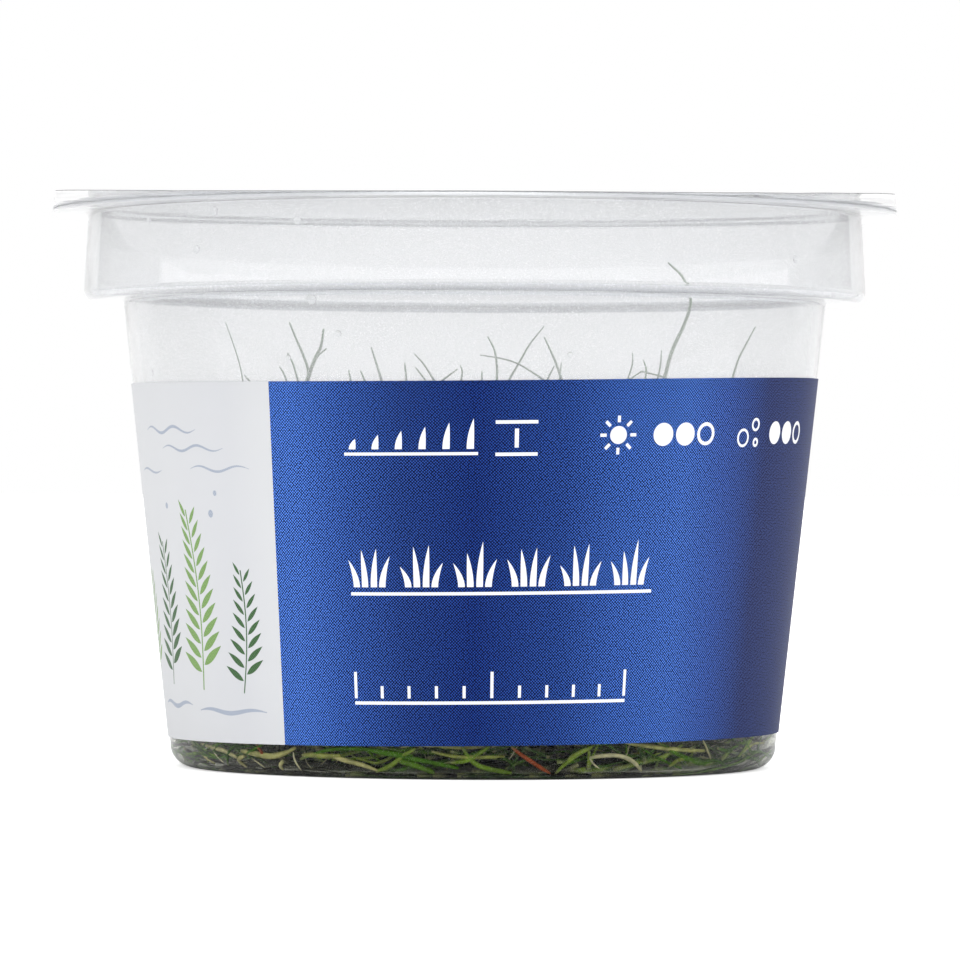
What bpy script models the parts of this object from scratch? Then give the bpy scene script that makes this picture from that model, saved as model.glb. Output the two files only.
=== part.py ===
"""Dwarf hairgrass growing in a sealed in-vitro cup.

A thin-walled plastic cup with a flat base, a tapered wall, a ledge and a collar with a sealing
flange, closed by a clear film, wrapped by a printed label, and filled with twelve plantlets on a
mat of runners and roots. Units are metres, +Z is up, and the front of the label faces -Y.
The origin is the centre of the cup's flat base.
"""

import math
import random

import bmesh
import bpy
from mathutils import Vector

MM = 0.001
GAP = 0.3 * MM

# Cup: outer sizes
BASE_RADIUS = 31.3 * MM
FOOT_FILLET = 2.5 * MM
LEDGE_HEIGHT = 51.75 * MM
BODY_TOP_RADIUS = 39.15 * MM
COLLAR_LOW_RADIUS = 43.6 * MM
COLLAR_HIGH_RADIUS = 43.15 * MM
COLLAR_FILLET = 1.0 * MM
FLANGE_RADIUS = 47.1 * MM
RIM_HEIGHT = 61.65 * MM
FLANGE_THICKNESS = 0.45 * MM
WALL = 0.7 * MM
CUP_SEGMENTS = 66

# Lid film: four corners round a circle as wide as the flange, joined by straight sides
FILM_RADIUS = 47.15 * MM
FILM_CORNER = 43.8 * MM
FILM_CORNER_ROUND = 1.5 * MM
FILM_CORNER_STEPS = 3
FILM_THICKNESS = 0.12 * MM
FILM_TOUCH_STEPS = 2

# Label: a thin sheet on the tapered wall, open at the back
LABEL_THICKNESS = 0.15 * MM
LABEL_LOW = 3.7 * MM
LABEL_HIGH = 42.4 * MM
LABEL_SIDE_RISE = 0.55 * MM
LABEL_TILT = 0.0113
LABEL_COLUMNS = 55

# Root mat on the cup's floor
MAT_HEIGHT = 4.3 * MM
MAT_EDGE_DROP = 0.3 * MM
MAT_REACH = BASE_RADIUS + 0.9 * MM
MAT_FOOT_REACH = BASE_RADIUS - 0.5 * MM
MAT_EDGE_REACH = BASE_RADIUS - 0.9 * MM
MAT_SIDE_HEIGHTS = (1.1 * MM, 2.2 * MM)
MAT_LUMP = 0.45 * MM
MAT_LUMP_SPACING = (3.1 * MM, 2.7 * MM, 4.3 * MM)
MAT_LUMP_ZONE = 1.0 * MM
MAT_RINGS = 4
MAT_SEGMENTS = 30

# Plantlets: one ring near the wall and one near the axis
OUTER_RING_RADIUS = 25.0 * MM
OUTER_RING_COUNT = 9
OUTER_RING_START = math.radians(-46)
INNER_RING_RADIUS = 9.5 * MM
INNER_RING_COUNT = 3
INNER_RING_START = math.radians(-90)
CROWN_RADIUS = 1.7 * MM
CROWN_FLATNESS = 0.8
CROWN_HEIGHT = 6.1 * MM
BLADES_PER_TUFT = 12
BLADE_STEPS = 5
BLADE_TOP = (17 * MM, 45 * MM)
SHORT_BLADE_SPREAD = 6.8 * MM
LONG_BLADE_SPREAD = 3.6 * MM
BLADE_BEND = 0.7 * MM
BLADE_INSET = 0.1 * MM
BLADE_FLARE = 1.3
BLADE_NOD = math.pi / 2.2
OUTWARD_LEAN = 0.09
TALL_BLADE_LEAD = 1.1
TIP_SCALE = 0.3
TAPER = 1.5
LEAST_UPWARD = 0.3

# Blades that stand above the label's edge: the points they pass through, lowest first
TALL_BLADES = (
    ((20.4, -21.5, 43.2), (22.1, -21.8, 47.5), (23.3, -21.8, 50.4), (23.1, -21.8, 52.9), (20.9, -21.8, 55.1)),
    ((-19.7, -25.4, 48.9),),
    ((-15.0, -26.4, 48.2),),
    ((7.5, -28.4, 48.5),),
    ((1.2, -27.6, 47.3),),
    ((30.2, -14.6, 48.5),),
    ((-26.9, -18.8, 49.3),),
)


def clear_scene():
    for old in list(bpy.data.objects):
        bpy.data.objects.remove(old, do_unlink=True)


def material(name, colour, roughness, transmission=0.0, ior=1.5):
    made = bpy.data.materials.new(name)
    made.use_nodes = True
    shader = made.node_tree.nodes["Principled BSDF"]
    shader.inputs["Base Color"].default_value = (*colour, 1.0)
    shader.inputs["Roughness"].default_value = roughness
    shader.inputs["Metallic"].default_value = 0.0
    shader.inputs["Transmission Weight"].default_value = transmission
    shader.inputs["IOR"].default_value = ior
    return made


def object_from(name, bm, finish, smooth_angle=None):
    """Makes the named object from a closed bmesh, with its faces pointing out."""
    bmesh.ops.recalc_face_normals(bm, faces=bm.faces)
    if bm.calc_volume(signed=True) < 0:
        bmesh.ops.reverse_faces(bm, faces=bm.faces)
    mesh = bpy.data.meshes.new(name)
    bm.to_mesh(mesh)
    bm.free()
    mesh.materials.append(finish)
    if smooth_angle is not None:
        mesh.shade_smooth()
        mesh.set_sharp_from_angle(angle=smooth_angle)
    made = bpy.data.objects.new(name, mesh)
    bpy.context.scene.collection.objects.link(made)
    return made


def arc(centre_r, centre_z, radius, start_deg, end_deg, steps):
    """Points of a round stretch of a profile, as (r, z) pairs."""
    points = []
    for step in range(steps + 1):
        angle = math.radians(start_deg + (end_deg - start_deg) * step / steps)
        points.append((centre_r + radius * math.cos(angle), centre_z + radius * math.sin(angle)))
    return points


def turned(points, segments):
    """A closed bmesh from a profile of (r, z) points spun about Z."""
    bm = bmesh.new()
    ring = [bm.verts.new((r, 0.0, z)) for r, z in points]
    edges = [bm.edges.new(pair) for pair in zip(ring, ring[1:])]
    bmesh.ops.spin(
        bm,
        geom=ring + edges,
        cent=(0, 0, 0),
        axis=(0, 0, 1),
        angle=math.tau,
        steps=segments,
        use_merge=True,
    )
    bmesh.ops.remove_doubles(bm, verts=bm.verts, dist=1e-6)
    return bm


def body_radius(z):
    """Outer radius of the tapered wall at a height."""
    foot = BASE_RADIUS + FOOT_FILLET
    share = (z - FOOT_FILLET) / (LEDGE_HEIGHT - FOOT_FILLET)
    return foot + (BODY_TOP_RADIUS - foot) * share


def cup_profile():
    collar_foot = LEDGE_HEIGHT + COLLAR_FILLET
    outside = [(0.0, 0.0)]
    outside += arc(BASE_RADIUS, FOOT_FILLET, FOOT_FILLET, -90, 0, 4)
    outside.append((BODY_TOP_RADIUS, LEDGE_HEIGHT))
    outside += arc(COLLAR_LOW_RADIUS - COLLAR_FILLET, collar_foot, COLLAR_FILLET, -90, 0, 3)
    outside += [
        (COLLAR_HIGH_RADIUS, RIM_HEIGHT - FLANGE_THICKNESS),
        (FLANGE_RADIUS, RIM_HEIGHT - FLANGE_THICKNESS),
        (FLANGE_RADIUS, RIM_HEIGHT),
    ]
    inside = [
        (COLLAR_HIGH_RADIUS - WALL, RIM_HEIGHT),
        (COLLAR_LOW_RADIUS - WALL, collar_foot),
        (COLLAR_LOW_RADIUS - COLLAR_FILLET, LEDGE_HEIGHT + WALL),
        (BODY_TOP_RADIUS - WALL, LEDGE_HEIGHT + WALL),
    ]
    inside += arc(BASE_RADIUS, FOOT_FILLET, FOOT_FILLET - WALL, 0, -90, 3)
    inside.append((0.0, WALL))
    return outside + inside


def make_cup():
    plastic = material("cup_plastic", (0.93, 0.94, 0.96), 0.2, transmission=0.9, ior=1.49)
    return object_from("cup", turned(cup_profile(), CUP_SEGMENTS), plastic, math.radians(30))


def film_outline():
    """Each side's points where it touches the circle, and then the next corner."""
    corner_reach = math.hypot(FILM_CORNER, FILM_CORNER)
    touch = math.pi / 4 - math.acos(FILM_RADIUS / corner_reach)
    points = []
    for side in range(4):
        middle = side * math.pi / 2
        for step in range(-FILM_TOUCH_STEPS, FILM_TOUCH_STEPS + 1):
            angle = middle + touch * step / FILM_TOUCH_STEPS
            points.append((FILM_RADIUS * math.cos(angle), FILM_RADIUS * math.sin(angle)))
        angle = middle + math.pi / 4
        points.append((corner_reach * math.cos(angle), corner_reach * math.sin(angle)))
    return points


def make_lid_film():
    low = RIM_HEIGHT + GAP
    bm = bmesh.new()
    ring = [bm.verts.new((x, y, low)) for x, y in film_outline()]
    bm.faces.new(ring)
    corners = ring[2 * FILM_TOUCH_STEPS + 1 :: 2 * FILM_TOUCH_STEPS + 2]
    bmesh.ops.bevel(
        bm,
        geom=corners,
        offset=FILM_CORNER_ROUND,
        segments=FILM_CORNER_STEPS,
        profile=0.5,
        affect="VERTICES",
        material=-1,
    )
    lifted = bmesh.ops.extrude_face_region(bm, geom=bm.faces[:])["geom"]
    top = [item for item in lifted if isinstance(item, bmesh.types.BMVert)]
    bmesh.ops.translate(bm, verts=top, vec=(0, 0, FILM_THICKNESS))
    clear = material("lid_film", (0.95, 0.97, 1.0), 0.06, transmission=1.0, ior=1.5)
    return object_from("lid_film", bm, clear)


def label_point(angle, high, lift):
    """A point of the label at an angle from the front, on its low or high edge, off the wall by lift."""
    z = LABEL_HIGH + LABEL_SIDE_RISE * math.sin(angle) ** 2 if high else LABEL_LOW
    z += LABEL_TILT * body_radius(z) * math.sin(angle)
    radius = body_radius(z) + lift
    return Vector((radius * math.sin(angle), -radius * math.cos(angle), z))


def make_label():
    bm = bmesh.new()
    rings = []
    for column in range(LABEL_COLUMNS + 1):
        angle = (column - LABEL_COLUMNS / 2) * math.tau / CUP_SEGMENTS
        corners = [
            label_point(angle, False, GAP),
            label_point(angle, False, GAP + LABEL_THICKNESS),
            label_point(angle, True, GAP + LABEL_THICKNESS),
            label_point(angle, True, GAP),
        ]
        rings.append([bm.verts.new(corner) for corner in corners])
    for ring, following in zip(rings, rings[1:]):
        for side in range(4):
            across = (side + 1) % 4
            bm.faces.new((ring[side], following[side], following[across], ring[across]))
    bm.faces.new(rings[0])
    bm.faces.new(rings[-1])
    print_blue = material("label_print", (0.02, 0.06, 0.26), 0.45)
    return object_from("label", bm, print_blue, math.radians(30))


def make_root_mat():
    """A lumpy disc that fills the cup's foot."""
    low = WALL + GAP
    profile = [(0.0, low), (MAT_FOOT_REACH, low)]
    profile += [(MAT_REACH, low + height) for height in MAT_SIDE_HEIGHTS]
    profile.append((MAT_EDGE_REACH, MAT_HEIGHT - MAT_EDGE_DROP))
    profile += [(BASE_RADIUS * ring / MAT_RINGS, MAT_HEIGHT) for ring in range(MAT_RINGS - 1, -1, -1)]
    bm = turned(profile, MAT_SEGMENTS)
    across, along, slant = MAT_LUMP_SPACING
    for vert in bm.verts:
        x, y, z = vert.co
        if z < MAT_HEIGHT - MAT_LUMP_ZONE:
            continue
        wave = math.sin(x / across) * math.cos(y / along) + math.sin((x + y) / slant)
        vert.co.z += MAT_LUMP * wave / 2
    fibres = material("root_fibres", (0.30, 0.31, 0.14), 0.6)
    return object_from("root_mat", bm, fibres, math.radians(50))


def tuft_places():
    """Where the crowns stand, the ring near the wall first."""
    rings = (
        (OUTER_RING_RADIUS, OUTER_RING_COUNT, OUTER_RING_START),
        (INNER_RING_RADIUS, INNER_RING_COUNT, INNER_RING_START),
    )
    places = []
    for radius, count, start in rings:
        for index in range(count):
            angle = start + index * math.tau / count
            places.append(Vector((radius * math.cos(angle), radius * math.sin(angle), CROWN_HEIGHT)))
    return places


def tall_blades_by_tuft(places):
    """Each tall blade's points, in metres, listed under the nearest crown."""
    found = {index: [] for index in range(len(places))}
    for points in TALL_BLADES:
        route = [Vector(point) * MM for point in points]
        nearest = min(found, key=lambda index: (places[index].xy - route[0].xy).length)
        found[nearest].append(route)
    return found


def blade_route(root, azimuth, spread, top, bend, lean):
    """Points of one blade from its crown to its tip: it fans out, and bows to one side."""
    out = Vector((math.cos(azimuth), math.sin(azimuth), 0))
    side = Vector((-out.y, out.x, 0))
    route = []
    for step in range(1, BLADE_STEPS + 1):
        t = step / BLADE_STEPS
        point = root + out * spread * t**BLADE_FLARE + side * bend * math.sin(math.pi * t) + lean * t
        point.z = root.z + (top - root.z) * math.sin(t * BLADE_NOD) / math.sin(BLADE_NOD)
        route.append(point)
    return route


def tall_route(root, through):
    """Points from the crown to the first point of a tall blade, and on through the others."""
    start = through[0]
    lead = BLADE_STEPS - 1
    route = [root.lerp(start, (step / lead) ** TALL_BLADE_LEAD) for step in range(1, lead)]
    return route + through


def grow(bm, face, route):
    """Extrudes a crown face along the route, thinner at each step."""
    base = face
    size = 1.0
    for index, point in enumerate(route):
        base = bmesh.ops.extrude_discrete_faces(bm, faces=[base])["faces"][0]
        centre = base.calc_center_median()
        wanted = 1.0 - (1.0 - TIP_SCALE) * ((index + 1) / len(route)) ** TAPER
        scale = wanted / size
        size = wanted
        for vert in base.verts:
            vert.co = point + (vert.co - centre) * scale


def make_tuft(number, place, tall, finish):
    """One plantlet: a rounded crown whose upper faces grow into blades."""
    draw = random.Random(number)
    bm = bmesh.new()
    bmesh.ops.create_icosphere(bm, subdivisions=2, radius=CROWN_RADIUS)
    bmesh.ops.scale(bm, verts=bm.verts, vec=(1, 1, CROWN_FLATNESS))
    bmesh.ops.translate(bm, verts=bm.verts, vec=place)
    bm.normal_update()
    upper = [face for face in bm.faces if face.normal.z > LEAST_UPWARD]

    def bearing(face):
        offset = face.calc_center_median() - place
        return math.atan2(offset.y, offset.x)

    upper.sort(key=bearing)
    chosen = [upper[index * len(upper) // BLADES_PER_TUFT] for index in range(BLADES_PER_TUFT)]
    bmesh.ops.inset_individual(bm, faces=chosen, thickness=BLADE_INSET, use_even_offset=True)

    lean = Vector((place.x, place.y, 0)) * OUTWARD_LEAN
    routes = {}
    for through in tall:
        heading = through[0] - place
        azimuth = math.atan2(heading.y, heading.x)
        free = [face for face in chosen if face not in routes]
        face = min(free, key=lambda item: abs(math.remainder(bearing(item) - azimuth, math.tau)))
        routes[face] = tall_route(face.calc_center_median(), through)
    for face in chosen:
        if face in routes:
            continue
        azimuth = bearing(face)
        height = draw.random()
        top = BLADE_TOP[0] + (BLADE_TOP[1] - BLADE_TOP[0]) * height
        spread = SHORT_BLADE_SPREAD + (LONG_BLADE_SPREAD - SHORT_BLADE_SPREAD) * height
        bend = draw.uniform(-BLADE_BEND, BLADE_BEND)
        routes[face] = blade_route(face.calc_center_median(), azimuth, spread, top, bend, lean * height)
    for face, route in routes.items():
        grow(bm, face, route)
    return object_from(f"hairgrass_tuft_{number:02d}", bm, finish, math.radians(60))


def make_tufts():
    grass = material("hairgrass", (0.12, 0.22, 0.05), 0.5)
    places = tuft_places()
    tall = tall_blades_by_tuft(places)
    for index, place in enumerate(places):
        make_tuft(index + 1, place, tall[index], grass)


clear_scene()
make_cup()
make_lid_film()
make_label()
make_root_mat()
make_tufts()
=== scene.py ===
"""Dwarf hairgrass in a sealed in-vitro cup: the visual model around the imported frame.

Units are metres, +Z is up and the front of the label faces -Y. The sections follow the order in
which the object is put together: cup, root tangle, hairgrass, label, lid film, and then the set.
"""

import math

import bmesh
import bpy
import numpy as np
from mathutils import Matrix, Vector


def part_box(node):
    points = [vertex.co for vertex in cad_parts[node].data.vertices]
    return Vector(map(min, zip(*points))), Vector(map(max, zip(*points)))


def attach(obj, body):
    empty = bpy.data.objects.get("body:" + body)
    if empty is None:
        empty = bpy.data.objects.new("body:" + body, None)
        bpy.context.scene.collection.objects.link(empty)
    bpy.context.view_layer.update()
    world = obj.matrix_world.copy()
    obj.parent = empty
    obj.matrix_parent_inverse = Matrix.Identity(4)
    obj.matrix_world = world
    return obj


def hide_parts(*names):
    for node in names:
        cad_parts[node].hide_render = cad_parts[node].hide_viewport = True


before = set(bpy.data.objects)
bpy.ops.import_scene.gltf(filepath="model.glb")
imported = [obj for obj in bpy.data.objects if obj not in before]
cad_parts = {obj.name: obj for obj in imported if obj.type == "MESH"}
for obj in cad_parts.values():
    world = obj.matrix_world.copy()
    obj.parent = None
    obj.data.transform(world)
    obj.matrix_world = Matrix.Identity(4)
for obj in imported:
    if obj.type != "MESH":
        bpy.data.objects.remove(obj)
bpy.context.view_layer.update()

MM = 0.001

# Cup
# A thin polypropylene cup from one mould: flat base, rounded foot, tapered wall, ledge, upright
# collar and flat sealing flange. The plastic is clear where the wet plants lie against it. Above them
# it is a little milky, more so at the ledge, and most on the flange's cut edge.
_, CUP_TOP_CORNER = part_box("cup")
# The rim is drawn up to the film, over the small gap that the solids keep there
SEAL_GAP = 0.22 * MM
FLANGE_RADIUS = CUP_TOP_CORNER[0]
RIM_HEIGHT = CUP_TOP_CORNER[2] + SEAL_GAP
BASE_RADIUS = 31.3 * MM
FOOT_FILLET = 2.5 * MM
LEDGE_HEIGHT = 51.75 * MM
BODY_TOP_RADIUS = 39.15 * MM
COLLAR_LOW_RADIUS = 43.6 * MM
COLLAR_HIGH_RADIUS = 43.15 * MM
COLLAR_FILLET = 1.2 * MM
LEDGE_FILLET = 0.35 * MM
FLANGE_THICKNESS = 0.4 * MM
FLANGE_EDGE = 0.15 * MM
WALL = 0.7 * MM
CUP_SEGMENTS = 192
CLEAR_TOP = 41.0 * MM
LEDGE_ZONE = (LEDGE_HEIGHT - LEDGE_FILLET, LEDGE_HEIGHT + 0.85 * MM)
CLEAR, MILKY, LEDGE, EDGE = range(4)
SHARP_ANGLE = 40
WELD = 1e-6
FROST_GRAIN = 0.04 * MM
WAVE_SCALE = 120.0
WAVE_DEPTH = 0.4 * MM


def body_radius(z):
    """Outer radius of the tapered wall at a height."""
    foot = BASE_RADIUS + FOOT_FILLET
    share = (z - FOOT_FILLET) / (LEDGE_HEIGHT - FOOT_FILLET)
    return foot + (BODY_TOP_RADIUS - foot) * share


def arc(centre_r, centre_z, radius, start_deg, end_deg, steps):
    """Points of a round stretch of a profile, as (radius, height) pairs."""
    points = []
    for step in range(steps + 1):
        angle = math.radians(start_deg + (end_deg - start_deg) * step / steps)
        points.append((centre_r + radius * math.cos(angle), centre_z + radius * math.sin(angle)))
    return points


def cup_profile():
    """The wall's outline: from the middle of the foot up the outside, and down the inside."""
    collar_foot = LEDGE_HEIGHT + COLLAR_FILLET
    flange_low = RIM_HEIGHT - FLANGE_THICKNESS
    flange_end = FLANGE_RADIUS - FLANGE_EDGE
    outside = [(0.0, 0.0)]
    outside += arc(BASE_RADIUS, FOOT_FILLET, FOOT_FILLET, -90, 4, 12)
    outside.append((body_radius(CLEAR_TOP), CLEAR_TOP))
    outside += arc(BODY_TOP_RADIUS + LEDGE_FILLET, LEDGE_HEIGHT - LEDGE_FILLET, LEDGE_FILLET, 180, 90, 5)
    outside += arc(COLLAR_LOW_RADIUS - COLLAR_FILLET, collar_foot, COLLAR_FILLET, -90, 0, 8)
    outside += arc(COLLAR_HIGH_RADIUS + LEDGE_FILLET, flange_low - LEDGE_FILLET, LEDGE_FILLET, 180, 90, 4)
    outside += arc(flange_end, flange_low + FLANGE_EDGE, FLANGE_EDGE, -90, 0, 3)
    outside += arc(flange_end, RIM_HEIGHT - FLANGE_EDGE, FLANGE_EDGE, 0, 90, 3)
    mouth = COLLAR_HIGH_RADIUS - WALL + LEDGE_FILLET
    step_in = BODY_TOP_RADIUS - WALL + LEDGE_FILLET
    inside = arc(mouth, RIM_HEIGHT - LEDGE_FILLET, LEDGE_FILLET, 90, 180, 4)
    inside += arc(COLLAR_LOW_RADIUS - COLLAR_FILLET, collar_foot, COLLAR_FILLET - WALL, 0, -90, 4)
    inside += arc(step_in, LEDGE_HEIGHT + WALL - LEDGE_FILLET, LEDGE_FILLET, 90, 180, 4)
    inside.append((body_radius(CLEAR_TOP) - WALL, CLEAR_TOP))
    inside += arc(BASE_RADIUS, FOOT_FILLET, FOOT_FILLET - WALL, 4, -90, 10)
    inside.append((0.0, WALL))
    return outside + inside


def turned(profile):
    """A closed skin from (radius, height) points spun about the cup's axis."""
    bm = bmesh.new()
    line = [bm.verts.new((r, 0, z)) for r, z in profile]
    edges = [bm.edges.new(pair) for pair in zip(line, line[1:])]
    centre, axis = (0, 0, 0), (0, 0, 1)
    whole = {"angle": math.tau, "steps": CUP_SEGMENTS, "use_merge": True}
    bmesh.ops.spin(bm, geom=line + edges, cent=centre, axis=axis, **whole)
    bmesh.ops.remove_doubles(bm, verts=bm.verts, dist=WELD)
    bmesh.ops.recalc_face_normals(bm, faces=bm.faces)
    return bm


def mesh_from(name, bm, materials, sharp_angle=None):
    """Ends the bmesh as a smooth mesh. Edges over the angle, in degrees, stay sharp."""
    mesh = bpy.data.meshes.new(name)
    bm.to_mesh(mesh)
    bm.free()
    for material in materials:
        mesh.materials.append(material)
    mesh.shade_smooth()
    if sharp_angle is not None:
        mesh.set_sharp_from_angle(angle=math.radians(sharp_angle))
    return mesh


def add_piece(name, mesh, slot, *nodes):
    """Puts a mesh in the scene on the part's one body, in place of its CAD nodes."""
    piece = bpy.data.objects.new(name, mesh)
    bpy.context.scene.collection.objects.link(piece)
    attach(piece, "root")
    if nodes:
        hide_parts(*nodes)
    return piece


def new_material(name, **settings):
    """A material with one Principled shader, whose constant values sit on its own sockets."""
    made = bpy.data.materials.new(name)
    made.use_nodes = True
    shader = made.node_tree.nodes["Principled BSDF"]
    for key, value in settings.items():
        shader.inputs[key.replace("_", " ")].default_value = value
    return made, made.node_tree, shader


def put(tree, kind, inputs=(), **settings):
    """Adds a node, with its settings, and its inputs as values or as sockets to link from."""
    node = tree.nodes.new(kind)
    for key, value in settings.items():
        setattr(node, key, value)
    for key, value in dict(inputs).items():
        if isinstance(value, bpy.types.NodeSocket):
            tree.links.new(value, node.inputs[key])
        else:
            node.inputs[key].default_value = value
    return node


def calculated(tree, operation, *values):
    """The result of a Math node on values or sockets."""
    return put(tree, "ShaderNodeMath", dict(enumerate(values)), operation=operation).outputs["Value"]


def remapped(tree, value, span, new_span):
    """A value moved from one span to another, and held inside it."""
    (start, end), (low, high) = span, new_span
    inputs = {"Value": value, "From Min": start, "From Max": end, "To Min": low, "To Max": high}
    return put(tree, "ShaderNodeMapRange", inputs).outputs["Result"]


def rippled(tree, shader, height, strength, distance):
    """Lets a height ripple the surface."""
    bump = put(tree, "ShaderNodeBump", {"Height": height, "Strength": strength, "Distance": distance})
    tree.links.new(bump.outputs["Normal"], shader.inputs["Normal"])


def new_group(name, inputs, outputs):
    """A shader node group with named sockets. Each is (name, kind) or (name, kind, value)."""
    group = bpy.data.node_groups.new(name, "ShaderNodeTree")
    for in_out, sockets in (("INPUT", inputs), ("OUTPUT", outputs)):
        for label, kind, *value in sockets:
            socket = group.interface.new_socket(label, in_out=in_out, socket_type=f"NodeSocket{kind}")
            if value:
                socket.default_value = value[0]
    return group, group.nodes.new("NodeGroupInput"), group.nodes.new("NodeGroupOutput")


def use_group(tree, group, **inputs):
    """Adds a node group, with its inputs as values or as sockets to link from."""
    named = {key.replace("_", " "): value for key, value in inputs.items()}
    return put(tree, "ShaderNodeGroup", named, node_tree=group)


def frost_group():
    """A frosted share of fine grains on a clear, glossy face, and the faint flow waves of a moulding."""
    group, given, result = new_group(
        "frost",
        (("Vector", "Vector"), ("Clear", "Float", 0.03), ("Frosted", "Float", 0.4), ("Share", "Float", 0.15)),
        (("Roughness", "Float"), ("Height", "Float")),
    )
    vector = given.outputs["Vector"]
    grains = put(group, "ShaderNodeVectorMath", {0: vector, 1: (FROST_GRAIN,) * 3}, operation="SNAP")
    chance = put(group, "ShaderNodeTexWhiteNoise", {"Vector": grains.outputs["Vector"]})
    frosted = calculated(group, "LESS_THAN", chance.outputs["Value"], given.outputs["Share"])
    gloss = remapped(group, frosted, (0.0, 1.0), (given.outputs["Clear"], given.outputs["Frosted"]))
    waves = put(group, "ShaderNodeTexNoise", {"Vector": vector, "Scale": WAVE_SCALE, "Detail": 1.0})
    group.links.new(gloss, result.inputs["Roughness"])
    group.links.new(waves.outputs["Fac"], result.inputs["Height"])
    return group


FROST = frost_group()


def clear_plastic(name, colour, clarity, frosted, ior=1.49, wave=0.06, tint=(0.80, 0.86, 0.94), depth=4.0):
    """Clear to milky plastic: clarity is the share that light passes, and frosted the share of its face
    that is frosted. The tint is what it takes in by depth."""
    material, tree, shader = new_material(
        name, Base_Color=(*colour, 1), Metallic=0.0, IOR=ior, Transmission_Weight=clarity
    )
    place = put(tree, "ShaderNodeTexCoord")
    frost = use_group(tree, FROST, Vector=place.outputs["Object"], Share=frosted)
    tree.links.new(frost.outputs["Roughness"], shader.inputs["Roughness"])
    rippled(tree, shader, frost.outputs["Height"], wave, WAVE_DEPTH)
    absorb = put(tree, "ShaderNodeVolumeAbsorption", {"Color": (*tint, 1), "Density": depth})
    tree.links.new(absorb.outputs["Volume"], tree.nodes["Material Output"].inputs["Volume"])
    return material


def cup_mesh():
    """One skin in four zones: the clear wall, the milky wall and collar, the ledge, and below the flange."""
    bm = turned(cup_profile())
    for face in bm.faces:
        x, y, z = face.calc_center_median()
        if z < CLEAR_TOP:
            face.material_index = CLEAR
        elif math.hypot(x, y) > COLLAR_LOW_RADIUS and z < RIM_HEIGHT - FLANGE_EDGE / 2:
            face.material_index = EDGE
        elif LEDGE_ZONE[0] < z < LEDGE_ZONE[1]:
            face.material_index = LEDGE
        else:
            face.material_index = MILKY
    wet = {"tint": (0.72, 0.74, 0.62), "depth": 700.0}
    plastics = [
        clear_plastic("clear_wall_plastic", (0.98, 0.98, 0.97), 1.0, 0.02, **wet),
        clear_plastic("milky_wall_plastic", (0.975, 0.98, 0.99), 0.81, 0.02),
        clear_plastic("milky_ledge_plastic", (0.96, 0.97, 0.99), 0.58, 0.06),
        clear_plastic("milky_edge_plastic", (0.86, 0.87, 0.89), 0.28, 0.04),
    ]
    # The wet mat on the clear wall leaves it little reflection of its own
    shader = plastics[CLEAR].node_tree.nodes["Principled BSDF"]
    shader.inputs["Specular Tint"].default_value = (0.25, 0.25, 0.25, 1)
    return mesh_from("cup_moulding", bm, plastics, SHARP_ANGLE)


add_piece("cup_moulding", cup_mesh(), "cup_plastic", "cup")

# Root tangle
# The runners and roots of all the plantlets, grown into one mat on the cup's floor, with old and
# young blades lying in it. Strands are green, olive, cream and, here and there, red-brown. Those
# deep inside are near black, as painted shade.
TANGLE_POINTS = 10
TANGLE_SIDES = 5
# Strands steeper than this start their ring from the sideways axis
STEEP = 0.8
WALL_CLEARANCE = 0.12 * MM
# The wet mat clings to the plastic. Strands pressed on it leave this much plastic outside them
PRESSED_WALL = 0.35 * MM
# In front of this depth only the placed strands are pressed on the wall
FRONT_STRIP_DEPTH = 21.5 * MM
# Groups of strands: count, then in mm distance from the axis, height and length, then the turn from
# the wall's run, slope and bow, then radius in mm, and tone
LOOSE_STRANDS = (
    # The first group is near black all through: painted shade for the deep inside of the mat
    (880, (3, 31.5), (1.15, 5.2), (8, 20), 1.2, 0.15, 0.1, (0.16, 0.27), (0.0, 0.16)),
    (250, (27.5, 32.2), (1.15, 5.2), (7, 19), 0.4, 0.3, 0.08, (0.13, 0.22), (0.14, 0.52)),
    (40, (30, 32.6), (1.15, 5.2), (8, 17), 0.15, 0.16, 0.06, (0.2, 0.3), (0.62, 0.82)),
    (90, (30, 32.6), (1.15, 5.2), (2, 5), 0.5, 1.2, 0.12, (0.05, 0.09), (0.84, 0.92)),
    (12, (30, 32.6), (1.15, 5.2), (6, 11), 0.3, 0.5, 0.04, (0.15, 0.22), (0.95, 1.0)),
)
SOLE_STRANDS = (110, (29, 32.6), (0, 0.8), (9, 20), 0.2, 0.02, 0.05, (0.16, 0.27), (0.0, 0.3))
WALL_STRANDS = (270, (33.2, 34), (0.4, 5), (8, 19), 0.15, 0.16, 0.06, (0.16, 0.27), (0.0, 0.56))
CROWN_FAN = 0.95
CROWN_HEIGHT = (2.5 * MM, 8.0 * MM)
CROWN_RADIUS = (0.13 * MM, 0.23 * MM)
PLACED_POINTS = 16
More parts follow.
